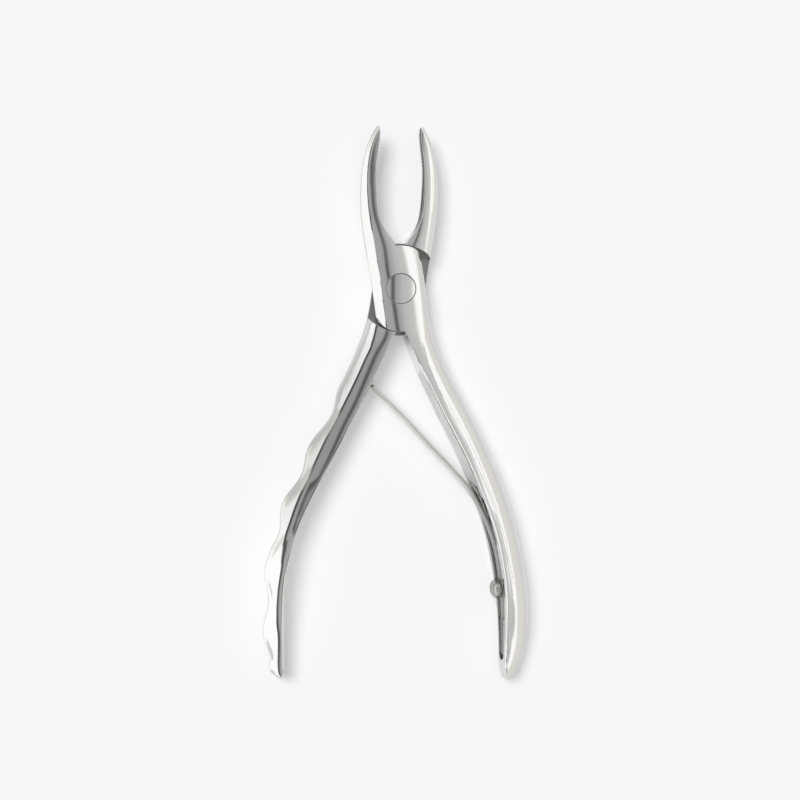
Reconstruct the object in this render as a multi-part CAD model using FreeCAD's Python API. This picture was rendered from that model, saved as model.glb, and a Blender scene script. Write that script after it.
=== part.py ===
"""Spring-loaded dental extraction forceps for milk teeth, in millimetres.

Two forged halves cross in a lap joint and turn on a flush rivet. A leaf spring,
screwed into the straight handle, holds the pair open.

Frame: the rivet's axis is Z, the beaks point to +Y, the handles to -Y, and Z = 0 is
the flat back of the joint. Both halves are drawn closed, in the plan of the closed
forceps, and are then swung apart to the open position in which the spring holds them.
"""
import FreeCAD, Part
import math
import os

V = FreeCAD.Vector

# Joint
joint_thickness = 8.0
joint_flat_reach = 9.0
joint_ground_off = 0.05
plate_half_width = 6.15
plate_end_radius_front = 9.9
plate_end_radius_back = 10.7
plate_corner_radius = 4.6
pocket_corner_radius = 2.5
corner_run_out = 0.1
shoulder_clearance = 0.25
lap_gap = 0.06
open_half_angle = 7.4

# Rivet of the joint
rivet_head_diameter = 7.0
rivet_head_depth = 1.6
rivet_head_chamfer = 0.15
rivet_shank_diameter = 4.6
rivet_foot_diameter = 6.0
rivet_foot_depth = 0.8
running_clearance = 0.04
seat_clearance = 0.01

# Beaks
beak_length = 37.8
beak_tip_depth = 3.4
beak_rise = 2.0
beak_tip_gap = 0.05
beak_hollow_depth = 0.55
tooth_pitch = 0.8
tooth_depth = 0.16
tooth_count = 15

# Handles
straight_handle_length = 93.2
grip_handle_length = 92.4
handle_neck_place = -24.0
handle_grip_place = -61.0
handle_neck_depth = 7.6
handle_grip_depth = 10.8
handle_end_depth = 5.0
straight_edge_width = 4.5
grip_edge_width = 3.3
joint_edge_width = 2.3
beak_edge_width = 1.5
edge_fullness = 2.3
inner_lean_degrees = 4.5
inner_lean_start = -12.0
inner_lean_full = -26.0
rim_rounding = 0.45
finger_hollow_depth = 1.4
finger_hollow_half_length = 6.6
finger_hollow_places = (-31.0, -45.6, -59.3, -75.3)

# Channel in the straight handle's inner face
channel_depth = 1.0
channel_run_out = 11.0
channel_height = 6.0
channel_top = -43.0
channel_bottom = -89.0

# Leaf spring and its screw
leaf_thickness = 0.8
leaf_width = 4.6
leaf_tip_width = 3.6
leaf_foot = -79.5
leaf_clamp_gap = 0.04
screw_place = -72.3
screw_head_diameter = 4.5
screw_head_rim = 1.3
screw_head_dome = 1.1
screw_shank_diameter = 2.6
screw_length = 3.6
screw_slot_width = 0.7
screw_slot_depth = 0.7

mid = joint_thickness / 2
beyond = 60.0

# Plan of the closed forceps, with X counted outwards from the middle: for the beaks as
# (distance back from the tip, X), and for the handles and the leaf as (Y, X)
beak_outer = (
    (-2.2, -2.4), (-0.4, -0.1), (1.8, 1.95), (4.8, 3.55), (8.8, 4.93), (13.8, 5.95), (19.8, 6.5),
    (26.8, 6.45),
)
beak_inner = (
    (1.5, 0.0), (4.3, 0.65), (8.3, 1.75), (12.8, 2.5), (17.3, 2.92), (20.8, 2.85), (23.6, 2.03),
    (25.6, 0.92), (26.9, 0.2),
)
straight_outer = (
    (-4.0, plate_half_width), (-12.0, 6.52), (-19.9, 8.62), (-29.9, 12.38), (-39.9, 15.84), (-49.9, 18.56),
    (-59.9, 20.22), (-69.9, 20.93), (-78.9, 20.58), (-86.3, 18.93), (-90.9, 16.86), (-93.5, 15.07),
)
straight_inner = (
    (-12.0, 0.42), (-20.0, 2.62), (-30.0, 5.93), (-39.9, 9.44), (-49.9, 12.21), (-59.9, 14.12),
    (-67.9, 14.72), (-75.9, 14.51), (-83.9, 13.66), (-89.4, 12.85),
)
grip_crests = (
    (-4.0, plate_half_width), (-12.0, 7.17), (-19.9, 9.42), (-27.9, 12.17), (-35.9, 14.97), (-43.9, 17.77),
    (-51.9, 20.22), (-59.9, 21.77), (-66.9, 22.36), (-74.9, 22.06), (-81.9, 21.0), (-87.9, 18.94),
    (-92.5, 16.07),
)
grip_inner = (
    (-11.2, 0.37), (-14.4, 1.39), (-19.0, 2.62), (-27.0, 5.46), (-35.0, 8.46), (-42.9, 11.56),
    (-49.9, 14.26), (-56.9, 16.45), (-64.9, 17.7), (-72.9, 17.5), (-80.9, 16.64), (-89.4, 15.4),
)
leaf_free_line = (
    (-58.4, 14.21), (-53.4, 12.73), (-48.6, 10.6), (-43.8, 7.47), (-37.0, 2.53), (-28.5, -3.53),
    (-21.12, -9.36),
)


def smooth_line(pairs):
    """Function of y that passes through (y, value) pairs with no jump in its curvature."""
    pts = sorted(pairs)
    curve = Part.BSplineCurve()
    curve.interpolate(Points=[V(value, y, 0) for y, value in pts], Parameters=[y for y, _ in pts])
    low, high = pts[0][0], pts[-1][0]
    return lambda y: curve.value(min(high, max(low, y))).x


def ease(a, b, start, end, y):
    """Value that turns smoothly from a at start to b at end."""
    t = min(1.0, max(0.0, (y - start) / (end - start)))
    return a + (b - a) * t**3 * (t * (6 * t - 15) + 10)


beak_outer_at = smooth_line([(beak_length - back, x) for back, x in beak_outer] + [(4.0, plate_half_width)])
beak_inner_at = smooth_line([(beak_length - back, x) for back, x in beak_inner])
straight_outer_at = smooth_line(straight_outer)
straight_inner_at = smooth_line(straight_inner)
grip_crests_at = smooth_line(grip_crests)
grip_inner_at = smooth_line(grip_inner)


def half_depth(y):
    """Half of the depth in Z of beak, joint or handle at y."""
    joint = mid + joint_ground_off
    if y > 0:
        return ease(joint, beak_tip_depth / 2, joint_flat_reach, beak_length + 3, y)
    neck = ease(joint, handle_neck_depth / 2, -joint_flat_reach, handle_neck_place, y)
    grip = ease(neck, handle_grip_depth / 2, handle_neck_place, handle_grip_place, y)
    return ease(grip, handle_end_depth / 2, handle_grip_place, -straight_handle_length - 5, y)


def middle(y, rise):
    """Middle height at y: the beaks rise towards their tips."""
    return mid + ease(0.0, rise, joint_flat_reach, beak_length + 3, y) if y > 0 else mid


def hollow(y):
    """Depth of the finger hollows of the grip handle at y."""
    depth = 0.0
    for place in finger_hollow_places:
        reach = abs(y - place) / finger_hollow_half_length
        if reach < 1:
            depth += finger_hollow_depth * math.cos(math.pi / 2 * reach) ** 2
    return depth


def beak_side(y):
    """Outer edge and width of its rounding on the beak's side."""
    x = beak_outer_at(y) if y > 4 else plate_half_width
    return x, ease(joint_edge_width, beak_edge_width, 8.0, beak_length - 4, y)


def straight_side(y):
    """The same on the straight handle's side."""
    x = straight_outer_at(y) if y < -4 else plate_half_width
    return x, ease(joint_edge_width, straight_edge_width, -4.0, handle_neck_place, y)


def grip_side(y):
    """The same on the grip handle's side: a line over its crests, less the finger hollows."""
    x = grip_crests_at(y) if y < -4 else plate_half_width
    width = ease(joint_edge_width, grip_edge_width, -4.0, handle_neck_place, y)
    return x - hollow(y), width - hollow(y)


def spline(points):
    curve = Part.BSplineCurve()
    curve.interpolate(points)
    return curve.toShape()


def rounded_side(stations, side_at, sign, rise):
    """Smooth surface of one outer side, from the upper flat round to the lower one."""
    power = 2 / edge_fullness
    count = 6
    grid = []
    for y in stations:
        x, w = side_at(y)
        row = []
        for k in range(count + 1):
            a = math.pi / 2 - math.pi * k / count
            out = x - w + w * abs(math.cos(a)) ** power
            up = math.copysign(abs(math.sin(a)) ** power, math.sin(a))
            row.append(V(sign * out, y, middle(y, rise) + half_depth(y) * up))
        grid.append(row)
    surface = Part.BSplineSurface()
    surface.interpolate(grid)
    return surface


def forging(handle_side, length, count, rise):
    """Beak on the left, handle on the right through count sections, and full metal between them."""
    beak_end, beak_count = beak_length + 2.0, 6
    stations = [beak_end * (1 - k / beak_count) for k in range(beak_count)]
    stations += [-length * k / count for k in range(count + 1)]
    left = rounded_side(stations, beak_side, -1, rise)
    right = rounded_side(stations, handle_side, 1, rise)
    u0, u1, v0, v1 = left.bounds()
    p0, p1, q0, q1 = right.bounds()
    faces = [left.toShape(), right.toShape()]
    for v, q in ((v0, q0), (v1, q1)):
        faces.append(Part.makeRuledSurface(left.vIso(v).toShape(), right.vIso(q).toShape()))
    for u, p in ((u0, p0), (u1, p1)):
        near, far = left.uIso(u), right.uIso(p)
        ends = [near.value(v0), near.value(v1), far.value(q0), far.value(q1)]
        wire = Part.Wire(Part.sortEdges([
            near.toShape(), Part.makeLine(ends[1], ends[3]), far.toShape(), Part.makeLine(ends[2], ends[0]),
        ])[0])
        faces.append(Part.Face(wire))
    shell = Part.makeShell(faces)
    shell.sewShape()
    solid = Part.makeSolid(shell)
    if solid.Volume < 0:
        solid.reverse()
    spare = -handle_neck_place
    ground = [Part.makeBox(2 * spare, 2 * spare, 4, V(-spare, -spare, z)) for z in (-4, joint_thickness)]
    return solid.cut(ground)


def corner(radius, side, rounding):
    """Where an end arc and a straight side meet in a rounding: its two ends and its middle."""
    cx = side - rounding
    cy = math.sqrt((radius - rounding) ** 2 - cx**2)
    a = math.atan2(cy, cx)
    on_arc = (radius * math.cos(a), radius * math.sin(a))
    half = a / 2
    middle = (cx + rounding * math.cos(half), cy + rounding * math.sin(half))
    return on_arc, middle, (side, cy)


def arc(a, b, c, z=0.0):
    return Part.Arc(V(*a, z), V(*b, z), V(*c, z)).toShape()


def polygon(points, z=0.0):
    return [Part.makeLine(V(*a, z), V(*b, z)) for a, b in zip(points, points[1:])]


def prism(edges, z0, z1):
    """Solid between two heights over a closed outline drawn at height 0."""
    face = Part.Face(Part.Wire(edges))
    face.translate(V(0, 0, z0))
    return face.extrude(V(0, 0, z1 - z0))


def turned(points):
    """Solid of revolution about Z from its (radius, height) outline, which starts on the axis."""
    body = Part.Face(Part.Wire(polygon(points + [points[0]]))).revolve(V(0, 0, 0), V(0, 1, 0), 360)
    body.rotate(V(0, 0, 0), V(1, 0, 0), 90)
    return body


def beak_gap(end_radius):
    """Everything to the right of the left beak's inner face and above the joint's free end."""
    root = (0.0, end_radius)
    inner = [(-x, beak_length - back) for back, x in beak_inner if beak_length - back > end_radius + 0.8]
    inner[0] = (-beak_tip_gap, inner[0][1])
    on_arc, middle, side = corner(end_radius, plate_half_width + corner_run_out, plate_corner_radius)
    tip = [(-3.0, beak_length), (-beak_tip_gap - 0.1, beak_length), (-beak_tip_gap, beak_length - 0.2)]
    edges = polygon([(-3.0, beak_length + 4)] + tip + [inner[0]])
    edges.append(spline([V(x, y, 0) for x, y in inner] + [V(*root, 0)]))
    between = math.atan2(on_arc[1], on_arc[0]) / 2 + math.pi / 4
    edges.append(arc(root, (end_radius * math.cos(between), end_radius * math.sin(between)), on_arc))
    edges.append(arc(on_arc, middle, side))
    edges += polygon([side, (side[0] + 3, side[1]), (side[0] + 3, beak_length + 4), (-3.0, beak_length + 4)])
    return prism(edges, -beyond, beyond)


def lean_share(y):
    """Share of the inner face's full lean at y."""
    return min(1.0, max(0.0, (y - inner_lean_start) / (inner_lean_full - inner_lean_start)))


def handle_gap(end_radius, inner_line, length, lean):
    """Everything to the left of the handle's inner face and below the joint's free end."""
    root = (0.0, -end_radius)
    on_arc, middle, side = corner(end_radius, plate_half_width + corner_run_out, plate_corner_radius)
    on_arc, middle, side = [(-p[0], -p[1]) for p in (on_arc, middle, side)]
    between = math.atan2(-on_arc[1], -on_arc[0]) / 2 + math.pi / 4
    half_way = (-end_radius * math.cos(between), -end_radius * math.sin(between))
    end_y = -length - 1
    wires = []
    for z in (mid - 12.0, mid + 12.0):
        shift = (z - mid) * math.tan(math.radians(lean))
        line = [V(*root, z)]
        for y, x in inner_line:
            line.append(V(x + shift * lean_share(y), y, z))
        last = (line[-1].x + 0.35, end_y)
        edges = [arc(side, middle, on_arc, z), arc(on_arc, half_way, root, z), spline(line)]
        edges += polygon([(line[-1].x, line[-1].y), last, (-12.0, end_y), (-12.0, side[1]), side], z)
        wires.append(Part.Wire(edges))
    return Part.makeLoft(wires, True, True)


def rim_cutter(inner_at, length, lean, up):
    """Cutter that rounds the upper (up = 1) or lower (up = -1) edge of a handle's inner face."""
    w = rim_rounding
    start, count = inner_lean_start - 1.0, 14
    wires = []
    for k in range(count + 1):
        y = start - (length + 1.0 + start) * k / count
        rise = half_depth(y)
        x = inner_at(y) + up * rise * math.tan(math.radians(lean)) * lean_share(y)
        x -= ease(w, 0.0, start, start - 12.0, y)
        foot, middle_point, head = (x - 0.1 * w, -1.32 * w), (x + 0.4 * w, -0.4 * w), (x + 1.32 * w, 0.1 * w)
        corners = [head, (head[0], 1.0), (x - 1.0, 1.0), (x - 1.0, foot[1]), foot]
        turn = [V(px, y, mid + up * (rise + pz)) for px, pz in (foot, middle_point, head)]
        edges = [Part.Arc(*turn).toShape()]
        edges += [Part.makeLine(V(a[0], y, mid + up * (rise + a[1])), V(b[0], y, mid + up * (rise + b[1])))
                  for a, b in zip(corners, corners[1:])]
        wires.append(Part.Wire(edges))
    return Part.makeLoft(wires, True, False)


def lap_pocket(end_radius, z0, z1):
    """Room for the other half's plate, from its free ends to both shoulders."""
    reach = end_radius + shoulder_clearance
    far = reach + 2
    side_x = plate_half_width + 0.5
    on_arc, middle, side = corner(reach, side_x, pocket_corner_radius)
    between = math.atan2(on_arc[1], -on_arc[0]) / 2 + math.pi / 4
    half_way = (reach * math.cos(between), reach * math.sin(between))
    edges = []
    for sign in (1, -1):
        turn = [(sign * -p[0], sign * p[1]) for p in (on_arc, middle, side)]
        start = (0.0, sign * reach)
        edges.append(arc(start, (sign * half_way[0], sign * half_way[1]), turn[0]))
        edges.append(arc(*turn))
        edges += polygon([turn[2], (turn[2][0], -sign * far), (0.0, -sign * far), (0.0, -sign * reach)])
    return prism(edges, z0, z1)


def beak_hollow(rise):
    """Spoon-shaped hollow along the inner face of the left beak."""
    start, count = plate_end_radius_back + 1.3, 7
    wires = []
    for k in range(count):
        y = start + 1 + (beak_length - start) * k / (count - 1)
        depth = beak_hollow_depth * min(1.0, (y - start) / 6.0)
        ellipse = Part.Ellipse(V(0, 0, 0), 0.72 * half_depth(y), 0.8)
        wire = Part.Wire([ellipse.toShape()])
        wire.rotate(V(0, 0, 0), V(1, 0, 0), 90)
        wire.rotate(V(0, 0, 0), V(0, 1, 0), 90)
        wire.translate(V(-beak_inner_at(y) + 0.8 - depth, y, middle(y, rise)))
        wires.append(wire)
    return Part.makeLoft(wires, True, False)


def beak_teeth():
    """Grooves across the inner face of the left beak, near its tip."""
    grooves = []
    for k in range(tooth_count):
        y = beak_length - 1.6 - k * tooth_pitch
        x = -beak_inner_at(y)
        tip = (x - tooth_depth, y)
        wide = tooth_pitch * 0.5
        upper, lower = (x + 0.6, y + wide * 1.9), (x + 0.6, y - wide * 1.9)
        edges = polygon([upper, tip, lower, upper])
        grooves.append(prism(edges, -1, joint_thickness + 1))
    return grooves


def channel():
    """Round-ended hollow in the straight handle's inner face, where the leaf lies."""
    r = channel_height / 2
    top, bottom = channel_top - r, channel_bottom + r * 0.7
    swell = r + 0.55
    centre = (top + bottom) / 2
    end_r = r * 0.7
    edges = [
        Part.Arc(V(0, top, mid - r), V(0, channel_top, mid), V(0, top, mid + r)).toShape(),
        Part.Arc(V(0, top, mid + r), V(0, centre, mid + swell), V(0, bottom, mid + end_r)).toShape(),
        Part.Arc(V(0, bottom, mid + end_r), V(0, channel_bottom, mid), V(0, bottom, mid - end_r)).toShape(),
        Part.Arc(V(0, bottom, mid - end_r), V(0, centre, mid - swell), V(0, top, mid - r)).toShape(),
    ]
    outline = Part.Face(Part.Wire(edges)).extrude(V(30, 0, 0))
    return outline.common(inner_layer())


def inner_layer():
    """Upright layer over the straight handle's inner face that sinks into it over the run-out."""
    count = 14
    stations = [channel_top + (channel_bottom - channel_top) * k / count for k in range(count + 1)]
    near, far = [], []
    for y in stations:
        x = straight_inner_at(y)
        near.append(V(x - 3, y, 0))
        far.append(V(x + ease(-0.3, channel_depth, channel_top, channel_top - channel_run_out, y), y, 0))
    return prism([
        spline(near), Part.makeLine(near[-1], far[-1]), spline(far[::-1]), Part.makeLine(far[0], near[0]),
    ], -beyond, beyond)


def leaf_line():
    """Middle line of the leaf in plan: up the channel's floor, then across to the other handle."""
    inset = channel_depth - leaf_thickness / 2 - seat_clearance
    seated = [(straight_inner_at(y) + inset, y) for y in (leaf_foot, -76.0, -72.0, -68.0, -64.0)]
    free = [(x, y) for y, x in leaf_free_line]
    return seated + free


def screw_frame():
    """Place on the channel's floor, and outward direction, of the leaf's screw."""
    ahead, behind = screw_place + 1, screw_place - 1
    dx = straight_inner_at(ahead) - straight_inner_at(behind)
    out = V(-2.0, dx, 0).normalize()
    floor = V(straight_inner_at(screw_place) + channel_depth, screw_place, mid)
    return floor, out


def leaf_spring():
    """Flat leaf, bent only in plan, narrower and rounded at its tip."""
    points = [V(x, y, 0) for x, y in leaf_line()]
    curve = Part.BSplineCurve()
    curve.interpolate(points)
    first, last = curve.FirstParameter, curve.LastParameter
    count = 26
    sides = ([], [])
    for k in range(count + 1):
        u = first + (last - first) * k / count
        p = curve.value(u)
        tangent = curve.tangent(u)[0]
        normal = V(-tangent.y, tangent.x, 0)
        sides[0].append(p + normal * (leaf_thickness / 2))
        sides[1].append(p - normal * (leaf_thickness / 2))
    left, right = sides[0], sides[1][::-1]
    edges = [spline(left), Part.makeLine(left[-1], right[0]), spline(right), Part.makeLine(right[-1], left[0])]
    strip = prism(edges, mid - leaf_width / 2, mid + leaf_width / 2)
    tip_y, taper_y = points[-1].y, points[-4].y
    r = leaf_tip_width / 2
    w = leaf_width / 2
    outline = [
        Part.Arc(V(-30, tip_y - r, mid - r), V(-30, tip_y + 0.3, mid), V(-30, tip_y - r, mid + r)).toShape(),
        Part.makeLine(V(-30, tip_y - r, mid + r), V(-30, taper_y, mid + w)),
        Part.makeLine(V(-30, taper_y, mid + w), V(-30, leaf_foot + w, mid + w)),
        Part.Arc(
            V(-30, leaf_foot + w, mid + w), V(-30, leaf_foot, mid), V(-30, leaf_foot + w, mid - w)
        ).toShape(),
        Part.makeLine(V(-30, leaf_foot + w, mid - w), V(-30, taper_y, mid - w)),
        Part.makeLine(V(-30, taper_y, mid - w), V(-30, tip_y - r, mid - r)),
    ]
    blank = Part.Face(Part.Wire(outline)).extrude(V(60, 0, 0))
    leaf = strip.common(blank)
    floor, out = screw_frame()
    hole = Part.makeCylinder(screw_shank_diameter / 2 + running_clearance, 8, floor - out * 2, out)
    return leaf.cut(hole)


def spring_screw():
    """Round-headed slotted screw that clamps the leaf to the channel's floor."""
    floor, out = screw_frame()
    seat = leaf_thickness + seat_clearance + leaf_clamp_gap
    r = screw_head_diameter / 2
    rim, crown = seat + screw_head_rim, seat + screw_head_rim + screw_head_dome
    shank_r = screw_shank_diameter / 2
    outline = polygon([(0, -screw_length), (shank_r - 0.3, -screw_length), (shank_r, -screw_length + 0.3),
                       (shank_r, seat), (r, seat), (r, rim)])
    outline.append(arc((r, rim), (r * 0.66, rim + screw_head_dome * 0.66), (0, crown)))
    outline += polygon([(0, crown), (0, -screw_length)])
    body = Part.Face(Part.Wire(outline)).revolve(V(0, 0, 0), V(0, 1, 0), 360)
    slot = Part.makeBox(screw_head_diameter + 1, 2, screw_slot_width,
                        V(-screw_head_diameter / 2 - 0.5, crown - screw_slot_depth, -screw_slot_width / 2))
    body = body.cut(slot)
    body.Placement = FreeCAD.Placement(floor, FreeCAD.Rotation(V(0, 1, 0), out))
    return body


def screw_bore():
    floor, out = screw_frame()
    return Part.makeCylinder(screw_shank_diameter / 2 + seat_clearance, screw_length + 0.6,
                             floor - out * (screw_length + 0.3), out)


def joint_rivet():
    """Flush rivet: flat head in front, countersunk foot in the back half."""
    shank_r = rivet_shank_diameter / 2
    head_r = rivet_head_diameter / 2
    shoulder = joint_thickness - rivet_head_depth
    return turned([
        (0, 0), (rivet_foot_diameter / 2, 0), (shank_r, rivet_foot_depth), (shank_r, shoulder),
        (head_r, shoulder), (head_r, joint_thickness - rivet_head_chamfer),
        (head_r - rivet_head_chamfer, joint_thickness), (0, joint_thickness),
    ])


def head_bore():
    """Running fit for the rivet's shank and head in the front half."""
    shank_r = rivet_shank_diameter / 2 + running_clearance
    head_r = rivet_head_diameter / 2 + running_clearance
    shoulder = joint_thickness - rivet_head_depth - running_clearance
    top = joint_thickness + 1
    return turned([(0, 0), (shank_r, 0), (shank_r, shoulder), (head_r, shoulder), (head_r, top), (0, top)])


def foot_bore():
    """Seat for the rivet's shank and foot in the back half."""
    shank_r = rivet_shank_diameter / 2 + seat_clearance
    foot_r = rivet_foot_diameter / 2 + seat_clearance
    return turned([
        (0, -1), (foot_r, -1), (foot_r, 0), (shank_r, rivet_foot_depth), (shank_r, joint_thickness),
        (0, joint_thickness),
    ])


def front_half():
    """Left beak, upper plate and straight right handle, drawn closed."""
    body = forging(straight_side, straight_handle_length, 12, beak_rise)
    body = body.cut(beak_gap(plate_end_radius_front))
    body = body.cut(
        handle_gap(plate_end_radius_front, straight_inner, straight_handle_length, inner_lean_degrees)
    )
    body = body.cut(lap_pocket(plate_end_radius_back, -beyond, mid + lap_gap / 2))
    body = body.cut([beak_hollow(beak_rise)] + beak_teeth())
    body = body.cut(channel())
    for up in (1, -1):
        body = body.cut(rim_cutter(straight_inner_at, straight_handle_length, inner_lean_degrees, up))
    body = body.cut(screw_bore())
    return body.cut(head_bore())


def back_half():
    """Right beak, lower plate and left grip handle, drawn closed and turned over."""
    body = forging(grip_side, grip_handle_length, 25, -beak_rise)
    body = body.cut(beak_gap(plate_end_radius_back))
    body = body.cut(handle_gap(plate_end_radius_back, grip_inner, grip_handle_length, 0.0))
    body = body.cut(lap_pocket(plate_end_radius_front, -beyond, mid + lap_gap / 2))
    body = body.cut([beak_hollow(-beak_rise)] + beak_teeth())
    for up in (1, -1):
        body = body.cut(rim_cutter(grip_inner_at, grip_handle_length, 0.0, up))
    body.rotate(V(0, 0, mid), V(0, 1, 0), 180)
    return body.cut(foot_bore())


def swing(shape, degrees):
    shape.rotate(V(0, 0, 0), V(0, 0, 1), degrees)
    return shape


def main():
    os.makedirs("parts", exist_ok=True)
    nodes = {
        "front_half": swing(front_half(), open_half_angle),
        "back_half": swing(back_half(), -open_half_angle),
        "joint_rivet": joint_rivet(),
        "leaf_spring": swing(leaf_spring(), open_half_angle),
        "spring_screw": swing(spring_screw(), open_half_angle),
    }
    for name, shape in nodes.items():
        solids = shape.Solids
        print(name, len(solids), "solid", shape.isValid(), round(shape.Volume, 2), "mm3")
        shape.exportStep("parts/" + name + ".step")


main()
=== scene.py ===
"""Spring-opened extraction forceps for milk teeth: camera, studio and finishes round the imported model.

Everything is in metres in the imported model's frame: Z is the rivet's axis, the beaks point to +Y.
"""
import math

import bmesh
import bpy
from mathutils import Matrix, Vector


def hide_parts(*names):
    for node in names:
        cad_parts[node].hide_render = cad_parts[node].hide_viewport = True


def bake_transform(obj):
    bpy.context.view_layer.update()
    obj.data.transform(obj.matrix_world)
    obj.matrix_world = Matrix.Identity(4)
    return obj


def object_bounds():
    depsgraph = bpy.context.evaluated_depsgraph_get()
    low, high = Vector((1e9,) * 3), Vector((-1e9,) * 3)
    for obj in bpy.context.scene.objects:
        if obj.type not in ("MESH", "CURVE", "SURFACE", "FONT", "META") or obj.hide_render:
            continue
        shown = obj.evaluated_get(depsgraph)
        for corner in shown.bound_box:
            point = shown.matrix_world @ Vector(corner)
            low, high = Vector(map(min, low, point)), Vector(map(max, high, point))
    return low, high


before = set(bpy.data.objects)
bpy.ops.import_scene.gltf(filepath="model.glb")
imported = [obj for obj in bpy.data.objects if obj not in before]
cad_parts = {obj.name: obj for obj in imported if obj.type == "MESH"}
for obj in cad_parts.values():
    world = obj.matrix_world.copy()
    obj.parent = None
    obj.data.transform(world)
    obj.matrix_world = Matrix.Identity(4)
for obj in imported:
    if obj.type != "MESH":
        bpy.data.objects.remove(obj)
cad_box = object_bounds()
MM = 0.001

# Camera
view_tilt = math.radians(8.0)
view_distance = 385 * MM
view_width = 184 * MM
view_centre = (0.23 * MM, 25.65 * MM)
joint_front = 8 * MM
sensor_width = 36
nearest_seen = 0.01

# Floor
floor_half_width = 3

# Each half is swung by this angle from the closed plan in which its outlines are drawn
open_half_angle = math.radians(7.4)

# Polished steel: its tone, shares of that tone and of its roughness in the clouds on it, how upright a
# flat's normal is, the steepest slope of the dressing, and heights and rounding in metres
bright_tone = (0.66, 0.658, 0.645)
cloud_dark, cloud_light = 0.96, 1.035
smoothest, roughest = 0.8, 1.25
flat_from, flat_full = 0.983, 0.9995
steepest_dressing = 0.3
wave_height = 5.5e-5
polish_line_height = 3e-6
edge_rounding = 0.12 * MM

# The left handle's side, in degrees and millimetres: tilt at its brow, how fast it turns on either side
# of the brow, its steepest tilt, and how softly it ends
brow_tilt = -22.0
brow_turn_inside, brow_turn_outside = 16.0, 30.0
brow_steepest = -42.0
brow_fade = 0.4

# Ground lap face, satin and darkened as painted shade; toothed faces of the beaks, darkened as painted shade
# between the beaks; and the line round the rivet, in millimetres
satin_shade_reach = 14.0
satin_shade_colour, satin_rougher = (0.30, 0.30, 0.295), 0.22
teeth_from, teeth_full = 11.0, 17.0
teeth_shade_colour, teeth_rougher = (0.30, 0.30, 0.31), 0.15
seam_colour, seam_fade = (0.2, 0.2, 0.2), 0.05

# Leaf in the closed plan, as (x, y) along its middle, in millimetres
leaf_line = [
    (14.781, -79.5), (15.093, -76.0), (15.295, -72.0), (15.312, -68.0), (15.127, -64.0), (14.21, -58.4),
    (12.73, -53.4), (10.6, -48.6), (7.47, -43.8), (2.53, -37.0), (-3.53, -28.5), (-9.36, -21.12),
]
leaf_thickness, leaf_width, leaf_tip_width, leaf_middle = 0.8, 4.6, 3.6, 4.0
# Share of its length where it starts to narrow, how far its ends and edges are rounded, and how flat
# its sides and edges stay
leaf_taper_start = 0.62
leaf_foot_round, leaf_tip_round = 2.2, 1.2
leaf_edge_round = 0.6
leaf_side_flat, leaf_edge_flat = 1.6, 1.15
leaf_end_blunt = 0.004


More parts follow.
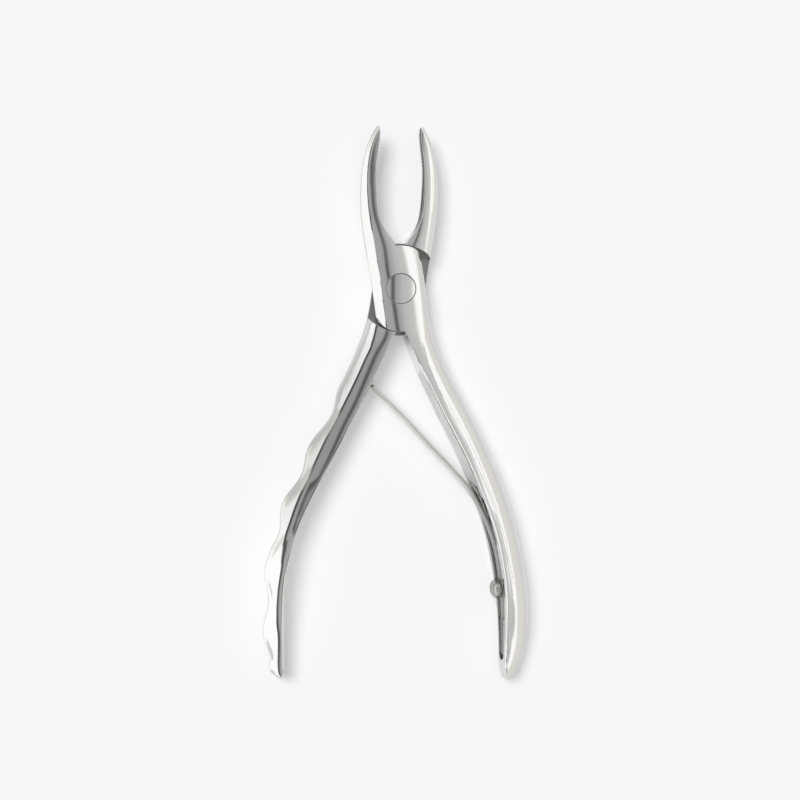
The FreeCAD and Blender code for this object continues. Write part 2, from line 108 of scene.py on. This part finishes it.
class Nodes:
    """Node tree of a material or world, cleared. A value in it is a (node, output) pair."""

    def __init__(self, owner):
        owner.use_nodes = True
        self.tree = owner.node_tree
        self.tree.nodes.clear()

    def make(self, kind, **values):
        """Node with its settings, and its inputs where the name starts with in_."""
        node = self.tree.nodes.new(kind)
        for name, value in values.items():
            if name.startswith("in_"):
                node.inputs[name[3:]].default_value = value
            else:
                setattr(node, name, value)
        return node

    def link(self, value, node, into):
        self.tree.links.new(value[0].outputs[value[1]], node.inputs[into])

    def maths(self, operation, *operands):
        """Result of a math node on numbers and values."""
        node = self.make("ShaderNodeMath", operation=operation)
        for k, operand in enumerate(operands):
            if isinstance(operand, tuple):
                self.link(operand, node, k)
            else:
                node.inputs[k].default_value = operand
        return node, 0

    def product(self, first, *others):
        for other in others:
            first = self.maths("MULTIPLY", first, other)
        return first

    def rest_of(self, share):
        return self.maths("SUBTRACT", 1.0, share)

    def vector(self, operation, *values, scale=None):
        """Result of a vector math node."""
        node = self.make("ShaderNodeVectorMath", operation=operation)
        for k, value in enumerate(values):
            self.link(value, node, k)
        if scale:
            self.link(scale, node, "Scale")
        return node, ("Value" if operation == "LENGTH" else "Vector")

    def split(self, value):
        """The three parts of a vector."""
        node = self.make("ShaderNodeSeparateXYZ")
        self.link(value, node, 0)
        return (node, "X"), (node, "Y"), (node, "Z")

    def ranged(self, value, low, high, to_low=0.0, to_high=1.0, kind="SMOOTHSTEP"):
        """Value carried from one range to another, and held at its ends."""
        node = self.make("ShaderNodeMapRange", interpolation_type=kind)
        self.link(value, node, "Value")
        for name, number in (("From Min", low), ("From Max", high), ("To Min", to_low), ("To Max", to_high)):
            node.inputs[name].default_value = number
        return node, 0

    def mixed(self, share, a, b):
        """Mix of two colours, each three numbers or a value."""
        node = self.make("ShaderNodeMix", data_type="RGBA")
        self.link(share, node, 0)
        for socket, colour in ((6, a), (7, b)):
            if len(colour) == 3:
                node.inputs[socket].default_value = (*colour, 1)
            else:
                self.link(colour, node, socket)
        return node, 2

    def ramp(self, value, stops):
        """Colour ramp through (position, colour) stops, in order."""
        node = self.make("ShaderNodeValToRGB")
        self.link(value, node, 0)
        elements = node.color_ramp.elements
        while len(elements) > 1:
            elements.remove(elements[-1])
        elements[0].position = stops[0][0]
        elements[0].color = (*stops[0][1], 1)
        for position, colour in stops[1:]:
            elements.new(position).color = (*colour, 1)
        return node, 0

    def line(self, value, pairs):
        """Value at y, in millimetres, of the smooth line through (y, value) pairs."""
        low_y, high_y = pairs[0][0], pairs[-1][0]
        values = [v for _, v in pairs]
        low, high = min(values) - 1, max(values) + 1
        place = self.ranged(value, low_y, high_y, kind="LINEAR")
        node = self.make("ShaderNodeFloatCurve")
        self.link(place, node, "Value")
        curve = node.mapping.curves[0]
        spots = [((y - low_y) / (high_y - low_y), (v - low) / (high - low)) for y, v in pairs]
        curve.points[0].location, curve.points[1].location = spots[0], spots[-1]
        for spot in spots[1:-1]:
            curve.points.new(*spot)
        node.mapping.update()
        return self.maths("MULTIPLY_ADD", (node, 0), high - low, low)

    def noise(self, place, scale, detail, roughness, stretch=None):
        """Noise at a place, which is first scaled along each axis where stretch is given."""
        if stretch:
            mapping = self.make("ShaderNodeMapping", in_Scale=stretch)
            self.link(place, mapping, "Vector")
            place = (mapping, 0)
        node = self.make("ShaderNodeTexNoise", in_Scale=scale, in_Detail=detail, in_Roughness=roughness)
        self.link(place, node, "Vector")
        return node, 0

    def bump(self, height, normal, strength, distance):
        node = self.make("ShaderNodeBump", in_Strength=strength, in_Distance=distance)
        self.link(height, node, "Height")
        self.link(normal, node, "Normal")
        return node, 0


def add_object(name, data):
    obj = bpy.data.objects.new(name, data)
    bpy.context.scene.collection.objects.link(obj)
    return obj


# --- camera ---
right = Vector((math.cos(view_tilt), 0, math.sin(view_tilt)))
up = Vector((0, 1, 0))
look = Vector((math.sin(view_tilt), 0, -math.cos(view_tilt)))
eye = Vector((0, 0, joint_front)) - look * view_distance - right * view_centre[0] - up * view_centre[1]
camera_data = bpy.data.cameras.new("camera")
camera_data.sensor_width = sensor_width
camera_data.lens = sensor_width * view_distance / view_width
camera_data.clip_start = nearest_seen
camera = add_object("camera", camera_data)
camera.matrix_world = Matrix((
    (right.x, up.x, -look.x, eye.x),
    (right.y, up.y, -look.y, eye.y),
    (right.z, up.z, -look.z, eye.z),
    (0, 0, 0, 1),
))
bpy.context.scene.camera = camera
bpy.context.scene.view_settings.view_transform = "Standard"

# --- studio: what the steel reflects, as (angle from overhead towards +X in degrees, colour) ---
white, grey, dark = (1.45, 1.45, 1.45), (0.50, 0.50, 0.50), (0.16, 0.16, 0.17)
cream = (1.06, 1.04, 0.99)
profile = [
    (-130, cream), (-100, cream), (-90, white), (-44, white),
    (-40, (0.12, 0.12, 0.12)), (-27, (0.14, 0.14, 0.14)), (-23, (0.48, 0.48, 0.48)),
    (-12, (0.56, 0.56, 0.56)), (-3.2, (0.54, 0.54, 0.54)), (-1.9, dark), (1.7, dark),
    (3.0, grey), (8, (0.60, 0.60, 0.595)), (12, (0.72, 0.72, 0.715)), (24, (0.82, 0.82, 0.81)),
    (28, white), (37, white), (41, cream), (70, (1.02, 1.0, 0.95)), (130, (0.9, 0.89, 0.86)),
]
world = bpy.data.worlds.new("studio")
bpy.context.scene.world = world
nodes = Nodes(world)
direction_x, direction_y, direction_z = nodes.split((nodes.make("ShaderNodeTexCoord"), "Generated"))
turn = nodes.maths("ARCTAN2", direction_x, direction_z)
share = nodes.maths("MULTIPLY_ADD", turn, 1 / (2 * math.pi), 0.5)
around = nodes.ramp(share, [(angle / 360 + 0.5, colour) for angle, colour in profile])
# towards +Y, and at the far end towards -Y, the room is an even cream
beaks_end = nodes.ranged(direction_y, 0.30, 0.62)
handles_end = nodes.ranged(direction_y, -0.9, -0.99)
ends = nodes.maths("MAXIMUM", beaks_end, handles_end)
reflected = nodes.make("ShaderNodeBackground")
nodes.link(nodes.mixed(ends, around, cream), reflected, "Color")
ambient = nodes.make("ShaderNodeBackground", in_Color=(0.20, 0.20, 0.205, 1))
backdrop = nodes.make("ShaderNodeBackground", in_Color=(0.93, 0.93, 0.94, 1))
path = nodes.make("ShaderNodeLightPath")
glossy = nodes.make("ShaderNodeMixShader")
nodes.link((path, "Is Glossy Ray"), glossy, 0)
nodes.link((ambient, 0), glossy, 1)
nodes.link((reflected, 0), glossy, 2)
seen = nodes.make("ShaderNodeMixShader")
nodes.link((path, "Is Camera Ray"), seen, 0)
nodes.link((glossy, 0), seen, 1)
nodes.link((backdrop, 0), seen, 2)
nodes.link((seen, 0), nodes.make("ShaderNodeOutputWorld"), 0)

# key from the upper left, and a fill from above that casts no shadow, as in a cut-out product picture
for name, energy, angle, place, casts in (
    ("key", 1.62, 26, (-0.24, 0.16, 0.60), True),
    ("fill", 1.28, 60, (0.0, 0.0, 0.7), False),
):
    lamp_data = bpy.data.lights.new(name, "SUN")
    lamp_data.energy = energy
    lamp_data.angle = math.radians(angle)
    lamp_data.use_shadow = casts
    lamp = add_object(name, lamp_data)
    lamp.location = place
    lamp.rotation_euler = (-Vector(place)).to_track_quat("-Z", "Y").to_euler()
    lamp.visible_glossy = False

lowest = cad_box[0][2]
floor_mesh = bpy.data.meshes.new("floor")
floor_corners = [(x * floor_half_width, y * floor_half_width, lowest)
                 for x, y in ((-1, -1), (1, -1), (1, 1), (-1, 1))]
floor_mesh.from_pydata(floor_corners, [], [(0, 1, 2, 3)])
floor = add_object("floor", floor_mesh)
paper = bpy.data.materials.new("paper")
nodes = Nodes(paper)
diffuse = nodes.make("ShaderNodeBsdfDiffuse", in_Color=(0.86, 0.86, 0.87, 1))
nodes.link((diffuse, 0), nodes.make("ShaderNodeOutputMaterial"), 0)
floor_mesh.materials.append(paper)


# --- finishes ---
def rolled_side(nodes, x, y, off, flat_tilt, face, swing, brow, spread):
    """Slope that the left handle's rolled side needs, and the share of it that each place takes."""
    face_x, face_y, face_z = face
    beyond = nodes.maths("SUBTRACT", x, nodes.line(y, brow))
    inside = nodes.product(nodes.maths("MAXIMUM", beyond, 0.0), brow_turn_inside)
    outside = nodes.product(nodes.maths("MINIMUM", beyond, 0.0), brow_turn_outside)
    turned = nodes.maths("ADD", nodes.maths("ADD", inside, outside), brow_tilt)
    tilt = nodes.maths("MAXIMUM", nodes.maths("MINIMUM", turned, flat_tilt), brow_steepest)
    wanted = nodes.maths("TANGENT", nodes.product(tilt, math.radians(1.0)))
    # the face's own slope across the closed plan
    along_x = nodes.product(face_x, math.cos(swing))
    across = nodes.maths("MULTIPLY_ADD", face_y, math.sin(swing), along_x)
    own = nodes.maths("DIVIDE", across, nodes.maths("MAXIMUM", face_z, 0.2))
    change = nodes.product(nodes.maths("SUBTRACT", wanted, own), face_z)

    reached = nodes.maths("ADD", beyond, nodes.line(y, spread))
    upward = nodes.ranged(face_z, 0.2, 0.45)
    left = nodes.maths("LESS_THAN", off, 0.0)
    return change, nodes.product(nodes.ranged(reached, 0.0, brow_fade), upward, left)


def steel(name, swing=0.0, crest=None, curve=None, brow=None, spread=None, lift=None, wave=1.0,
          rough=0.085, tone=bright_tone, round_edges=0.0, lap=None, seam=None, teeth=None, shade=None):
    """Hand-polished stainless steel. Lines are (y, value) pairs in the closed plan, in millimetres.

    swing is the angle of the piece from its closed plan. The flats are dressed slightly round: crest is
    the line of their highest points, as (y, x), and curve their bend across it in degrees per millimetre.
    brow is the line, as (y, x), where the flat turns over into the side that faces left, and spread is how
    far to the left of it that side is rolled. lift is how far sides that face left are polished over
    towards the top. wave scales the polisher's waves, rough is the roughness, tone the colour, and shade
    how far that colour is darkened along y, as painted shade. round_edges is the rounding of the edges in
    metres. lap is the height below which the joint's faces are ground satin and darkened as painted shade,
    teeth the sign of X that a toothed face looks towards, which is rougher and darkened as painted shade
    between the beaks, and seam the radius of the fine dark line round the rivet.
    """
    material = bpy.data.materials.new(name)
    nodes = Nodes(material)
    mapping = nodes.make("ShaderNodeMapping", vector_type="POINT")
    mapping.inputs["Rotation"].default_value = (0, 0, -swing)
    mapping.inputs["Scale"].default_value = (1 / MM, 1 / MM, 1 / MM)
    nodes.link((nodes.make("ShaderNodeTexCoord"), "Object"), mapping, "Vector")
    plan = (mapping, 0)
    x, y, z = nodes.split(plan)
    normal = (nodes.make("ShaderNodeNewGeometry"), "Normal")
    face_x, face_y, face_z = nodes.split(normal)
    if round_edges:
        normal = (nodes.make("ShaderNodeBevel", samples=6, in_Radius=round_edges), 0)

    # the joint's recessed lap face: ground satin and rougher, and darkened as painted shade
    if lap is not None:
        low = nodes.maths("LESS_THAN", z, lap)
        near = nodes.maths("LESS_THAN", nodes.maths("ABSOLUTE", y), satin_shade_reach)
        satin_and_shade = nodes.product(low, near, nodes.ranged(face_z, 0.05, 0.3))

    if crest:
        off = nodes.maths("SUBTRACT", x, nodes.line(y, crest))
        flat_tilt = nodes.product(off, nodes.line(y, curve))
        slope = nodes.product(flat_tilt, math.radians(1.0))
        slope = nodes.maths("MINIMUM", nodes.maths("MAXIMUM", slope, -steepest_dressing), steepest_dressing)
        slope = nodes.product(slope, nodes.ranged(nodes.maths("ABSOLUTE", face_z), flat_from, flat_full))
        if brow:
            change, rolled = rolled_side(
                nodes, x, y, off, flat_tilt, (face_x, face_y, face_z), swing, brow, spread)
            dressed = nodes.product(slope, nodes.rest_of(rolled))
            slope = nodes.maths("ADD", nodes.product(change, rolled), dressed)
        if lap is not None:
            slope = nodes.product(slope, nodes.rest_of(satin_and_shade))
        across = nodes.make("ShaderNodeVectorTransform", vector_type="VECTOR",
                            convert_from="OBJECT", convert_to="WORLD")
        across.inputs[0].default_value = (math.cos(swing), math.sin(swing), 0)
        normal = nodes.vector("ADD", normal, nodes.vector("SCALE", (across, 0), scale=slope))
        if lift:
            aside = nodes.ranged(nodes.product(face_x, -1.0), 0.6, 0.9)
            above = nodes.ranged(face_z, -0.3, 0.1)
            raised = nodes.product(nodes.line(y, lift), aside, above)
            if brow:
                raised = nodes.product(raised, nodes.rest_of(rolled))
            upwards = nodes.make("ShaderNodeCombineXYZ")
            nodes.link(raised, upwards, "Z")
            normal = nodes.vector("ADD", normal, (upwards, 0))
        normal = nodes.vector("NORMALIZE", normal)

    waves = nodes.noise(plan, scale=0.11, detail=1.5, roughness=0.45, stretch=(1.0, 0.45, 1.0))
    normal = nodes.bump(waves, normal, strength=1.0, distance=wave_height * wave)
    polish_lines = nodes.noise(plan, scale=3.2, detail=3.0, roughness=0.65, stretch=(1.0, 0.07, 1.0))
    normal = nodes.bump(polish_lines, normal, strength=0.35, distance=polish_line_height)

    cloud = nodes.noise(plan, scale=0.16, detail=4.0, roughness=0.55)
    colour = nodes.mixed(cloud, [cloud_dark * c for c in tone], [cloud_light * c for c in tone])
    roughness = nodes.ranged(cloud, 0.3, 0.7, rough * smoothest, rough * roughest, kind="LINEAR")
    # painted shade: the colour is darkened along y
    if shade:
        colour = nodes.vector("SCALE", colour, scale=nodes.line(y, shade))
    # painted shade on the lap face: its colour is darkened there
    if lap is not None:
        colour = nodes.mixed(satin_and_shade, colour, satin_shade_colour)
        roughness = nodes.maths("ADD", roughness, nodes.product(satin_and_shade, satin_rougher))
    # painted shade between the beaks: the faces that look at each other are darkened, and rougher for their
    # teeth
    if teeth is not None:
        toothed_and_shaded = nodes.ranged(nodes.product(face_x, teeth), 0.55, 0.85)
        toothed_and_shaded = nodes.product(toothed_and_shaded, nodes.ranged(y, teeth_from, teeth_full))
        colour = nodes.mixed(toothed_and_shaded, colour, teeth_shade_colour)
        roughness = nodes.maths("ADD", roughness, nodes.product(toothed_and_shaded, teeth_rougher))
    if seam is not None:
        flat = nodes.make("ShaderNodeVectorMath", operation="MULTIPLY")
        flat.inputs[1].default_value = (1, 1, 0)
        nodes.link(plan, flat, 0)
        ring = nodes.ranged(nodes.vector("LENGTH", (flat, 0)), seam - seam_fade, seam + seam_fade)
        colour = nodes.mixed(ring, colour, seam_colour)

    shader = nodes.make("ShaderNodeBsdfPrincipled", in_Metallic=1.0)
    nodes.link(colour, shader, "Base Color")
    nodes.link(roughness, shader, "Roughness")
    nodes.link(normal, shader, "Normal")
    nodes.link((shader, 0), nodes.make("ShaderNodeOutputMaterial"), 0)
    return material


def finish_node(name, material):
    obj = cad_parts[name]
    for k in range(len(obj.material_slots)):
        obj.material_slots[k].material = material
    if not obj.material_slots:
        obj.data.materials.append(material)


front_crest = [
    (-95, 13.4), (-80, 14.7), (-70, 15.1), (-60, 14.5), (-50, 12.2), (-40, 9.8), (-36, 8.5), (-30, 6.2),
    (-22, 3.5), (-15, 1.0), (-9.4, -0.45), (-4.7, -0.55), (0, -0.8), (4.5, -1.15), (9.2, -1.35),
    (13.9, -2.2), (18.6, -2.75), (23, -2.5), (27.8, -1.6), (32.3, -0.4), (36, 0.8), (40, 1.5),
]
front_bend = [
    (-95, 6.0), (-36, 6.0), (-22, 4.2), (-12, 3.0), (-8, 2.8), (6, 2.8), (14, 3.4), (20, 3.2),
    (26, 2.4), (32, 1.7), (40, 1.3),
]
front_lift = [(-95, 0.0), (-14, 0.0), (-9, 0.7), (30, 0.7), (40, 0.4)]
back_crest = [
    (-95, -14.6), (-88, -16.1), (-83.4, -16.9), (-79, -17.6), (-74.4, -18.1), (-69.8, -18.2),
    (-65.2, -17.8), (-60.6, -16.8), (-56, -16.2), (-53.5, -15.1), (-51.1, -14.4), (-48.7, -13.3),
    (-47.4, -12.5), (-46, -12.0), (-44.1, -11.4), (-38.4, -9.6), (-32.6, -7.8), (-26.9, -5.8),
    (-21.1, -4.0), (-15.3, -2.3), (-10, -0.4), (0, 0.2), (8, 2.1), (12.4, 3.0), (15.2, 3.3), (20, 3.3),
    (25.5, 2.8), (32, 1.5), (37, 0.6), (40, 0.2),
]
back_bend = [
    (-95, 20.0), (-69.8, 20.0), (-65.2, 14.0), (-60.6, 8.0), (-56, 1.6), (-53.5, 1.3), (-51.1, 1.25),
    (-48.7, 1.25), (-47.4, 1.4), (-46, 2.1), (-44, 2.8), (-10, 2.8), (8, 4.0), (13, 6.2), (20, 9.0),
    (40, 10.0),
]
back_brow = [
    (-95, -16.1), (-88, -17.2), (-83.4, -17.7), (-79, -18.7), (-74.4, -19.3), (-69.8, -19.6),
    (-65.2, -19.7), (-60.6, -19.4), (-55.9, -18.6), (-53, -18.0), (-50, -17.2), (-44, -15.3),
    (-35.8, -12.6), (-31.9, -11.1), (-27.2, -9.4), (-17.4, -6.25), (-12.7, -5.0), (-8, -4.6), (0, -4.6),
    (40, -4.6),
]
# painted shade: the left handle is darker between y -52 and -16
back_shade = [(-95, 1.0), (-62, 1.0), (-52, 0.86), (-16, 0.86), (-8, 1.0), (40, 1.0)]
back_spread = [(-95, 2.8), (-44, 2.4), (-32, 1.5), (-20, 0.9), (40, 0.9)]
back_lift = [(-95, 0.7), (-84, 0.82), (-42, 0.8), (-36, 0.4), (-28, 0.0), (40, 0.0)]

finish_node("front_half", steel(
    "front_steel", swing=open_half_angle, crest=front_crest, curve=front_bend, lift=front_lift,
    round_edges=edge_rounding, teeth=1.0))
finish_node("back_half", steel(
    "back_steel", swing=-open_half_angle, crest=back_crest, curve=back_bend, brow=back_brow,
    spread=back_spread, lift=back_lift, round_edges=edge_rounding, lap=4.3, teeth=-1.0, shade=back_shade))
finish_node("joint_rivet", steel(
    "rivet_steel", crest=[(-10, -0.55), (10, -0.35)], curve=[(-10, 2.8), (10, 2.8)], wave=0.6, seam=3.38))
finish_node("spring_screw", steel("screw_steel", rough=0.22, round_edges=0.15 * MM, tone=(0.42, 0.42, 0.40)))


# --- spring leaf: flat strip with rounded edges, bent only in plan ---
def spaced_line(points, count):
    """Evenly spaced points and directions along a smooth curve through the points, and its length."""
    data = bpy.data.curves.new("leaf_line", "CURVE")
    data.dimensions = "3D"
    data.resolution_u = 24
    spline = data.splines.new("BEZIER")
    spline.bezier_points.add(len(points) - 1)
    for knot, (x, y) in zip(spline.bezier_points, points):
        knot.co = (x, y, 0)
        knot.handle_left_type = knot.handle_right_type = "AUTO"
    obj = add_object("leaf_line", data)
    mesh = bpy.data.meshes.new_from_object(obj)
    fine = [v.co.to_2d() for v in mesh.vertices]
    bpy.data.objects.remove(obj)
    bpy.data.curves.remove(data)
    bpy.data.meshes.remove(mesh)
    reach = [0.0]
    for a, b in zip(fine, fine[1:]):
        reach.append(reach[-1] + (b - a).length)
    line = []
    for k in range(count + 1):
        goal = reach[-1] * k / count
        i = max(1, next((j for j, r in enumerate(reach) if r >= goal), len(reach) - 1))
        share = (goal - reach[i - 1]) / (reach[i] - reach[i - 1])
        line.append((fine[i - 1].lerp(fine[i], share), (fine[i] - fine[i - 1]).normalized()))
    return line, reach[-1]


def leaf_half_width(run, length):
    """Half of the leaf's width at a distance from its foot."""
    taper = max(0.0, (run / length - leaf_taper_start) / (1 - leaf_taper_start))
    half = (leaf_width + (leaf_tip_width - leaf_width) * taper) / 2
    end_round = leaf_tip_round if run > length / 2 else leaf_foot_round
    to_end = min(run, length - run)
    if to_end < end_round:
        half *= math.sqrt(max(leaf_end_blunt, 1 - (1 - to_end / end_round) ** 2))
    return half


def leaf_mesh():
    """Strip of the leaf with rounded long edges and round ends, in the open position."""
    count, ring = 150, 16
    line, length = spaced_line(leaf_line, count)
    vertices, faces = [], []
    turn = Matrix.Rotation(open_half_angle, 2)
    thick = leaf_thickness / 2
    edge = leaf_edge_round * thick
    for k, (point, ahead) in enumerate(line):
        half = leaf_half_width(length * k / count, length)
        side = Vector((-ahead.y, ahead.x))
        for j in range(ring):
            a = 2 * math.pi * j / ring
            ca, sa = math.cos(a), math.sin(a)
            out = thick * math.copysign(min(1.0, abs(ca) * leaf_side_flat), ca)
            lift = (half - edge) * math.copysign(min(1.0, abs(sa) * leaf_edge_flat), sa) + edge * sa
            spot = turn @ (point + side * out)
            vertices.append((spot.x * MM, spot.y * MM, (leaf_middle + lift) * MM))
        if k:
            base = ring * k
            faces += [(base - ring + j, base - ring + (j + 1) % ring, base + (j + 1) % ring, base + j)
                      for j in range(ring)]
    faces += [tuple(range(ring))[::-1], tuple(range(ring * count, ring * (count + 1)))]
    mesh = bpy.data.meshes.new("spring_leaf")
    mesh.from_pydata(vertices, [], faces)
    mesh.update()
    work = bmesh.new()
    work.from_mesh(mesh)
    bmesh.ops.recalc_face_normals(work, faces=work.faces)
    work.to_mesh(mesh)
    work.free()
    for face in mesh.polygons:
        face.use_smooth = True
    return mesh


leaf = add_object("spring_leaf", leaf_mesh())
# painted shade: the leaf is darkened where it lies against the right handle
leaf.data.materials.append(steel("spring_steel", rough=0.34, tone=(0.62, 0.62, 0.585),
                                shade=[(-95, 0.5), (-52, 0.55), (-42, 1.0), (40, 1.0)]))
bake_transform(leaf)
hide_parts("leaf_spring")
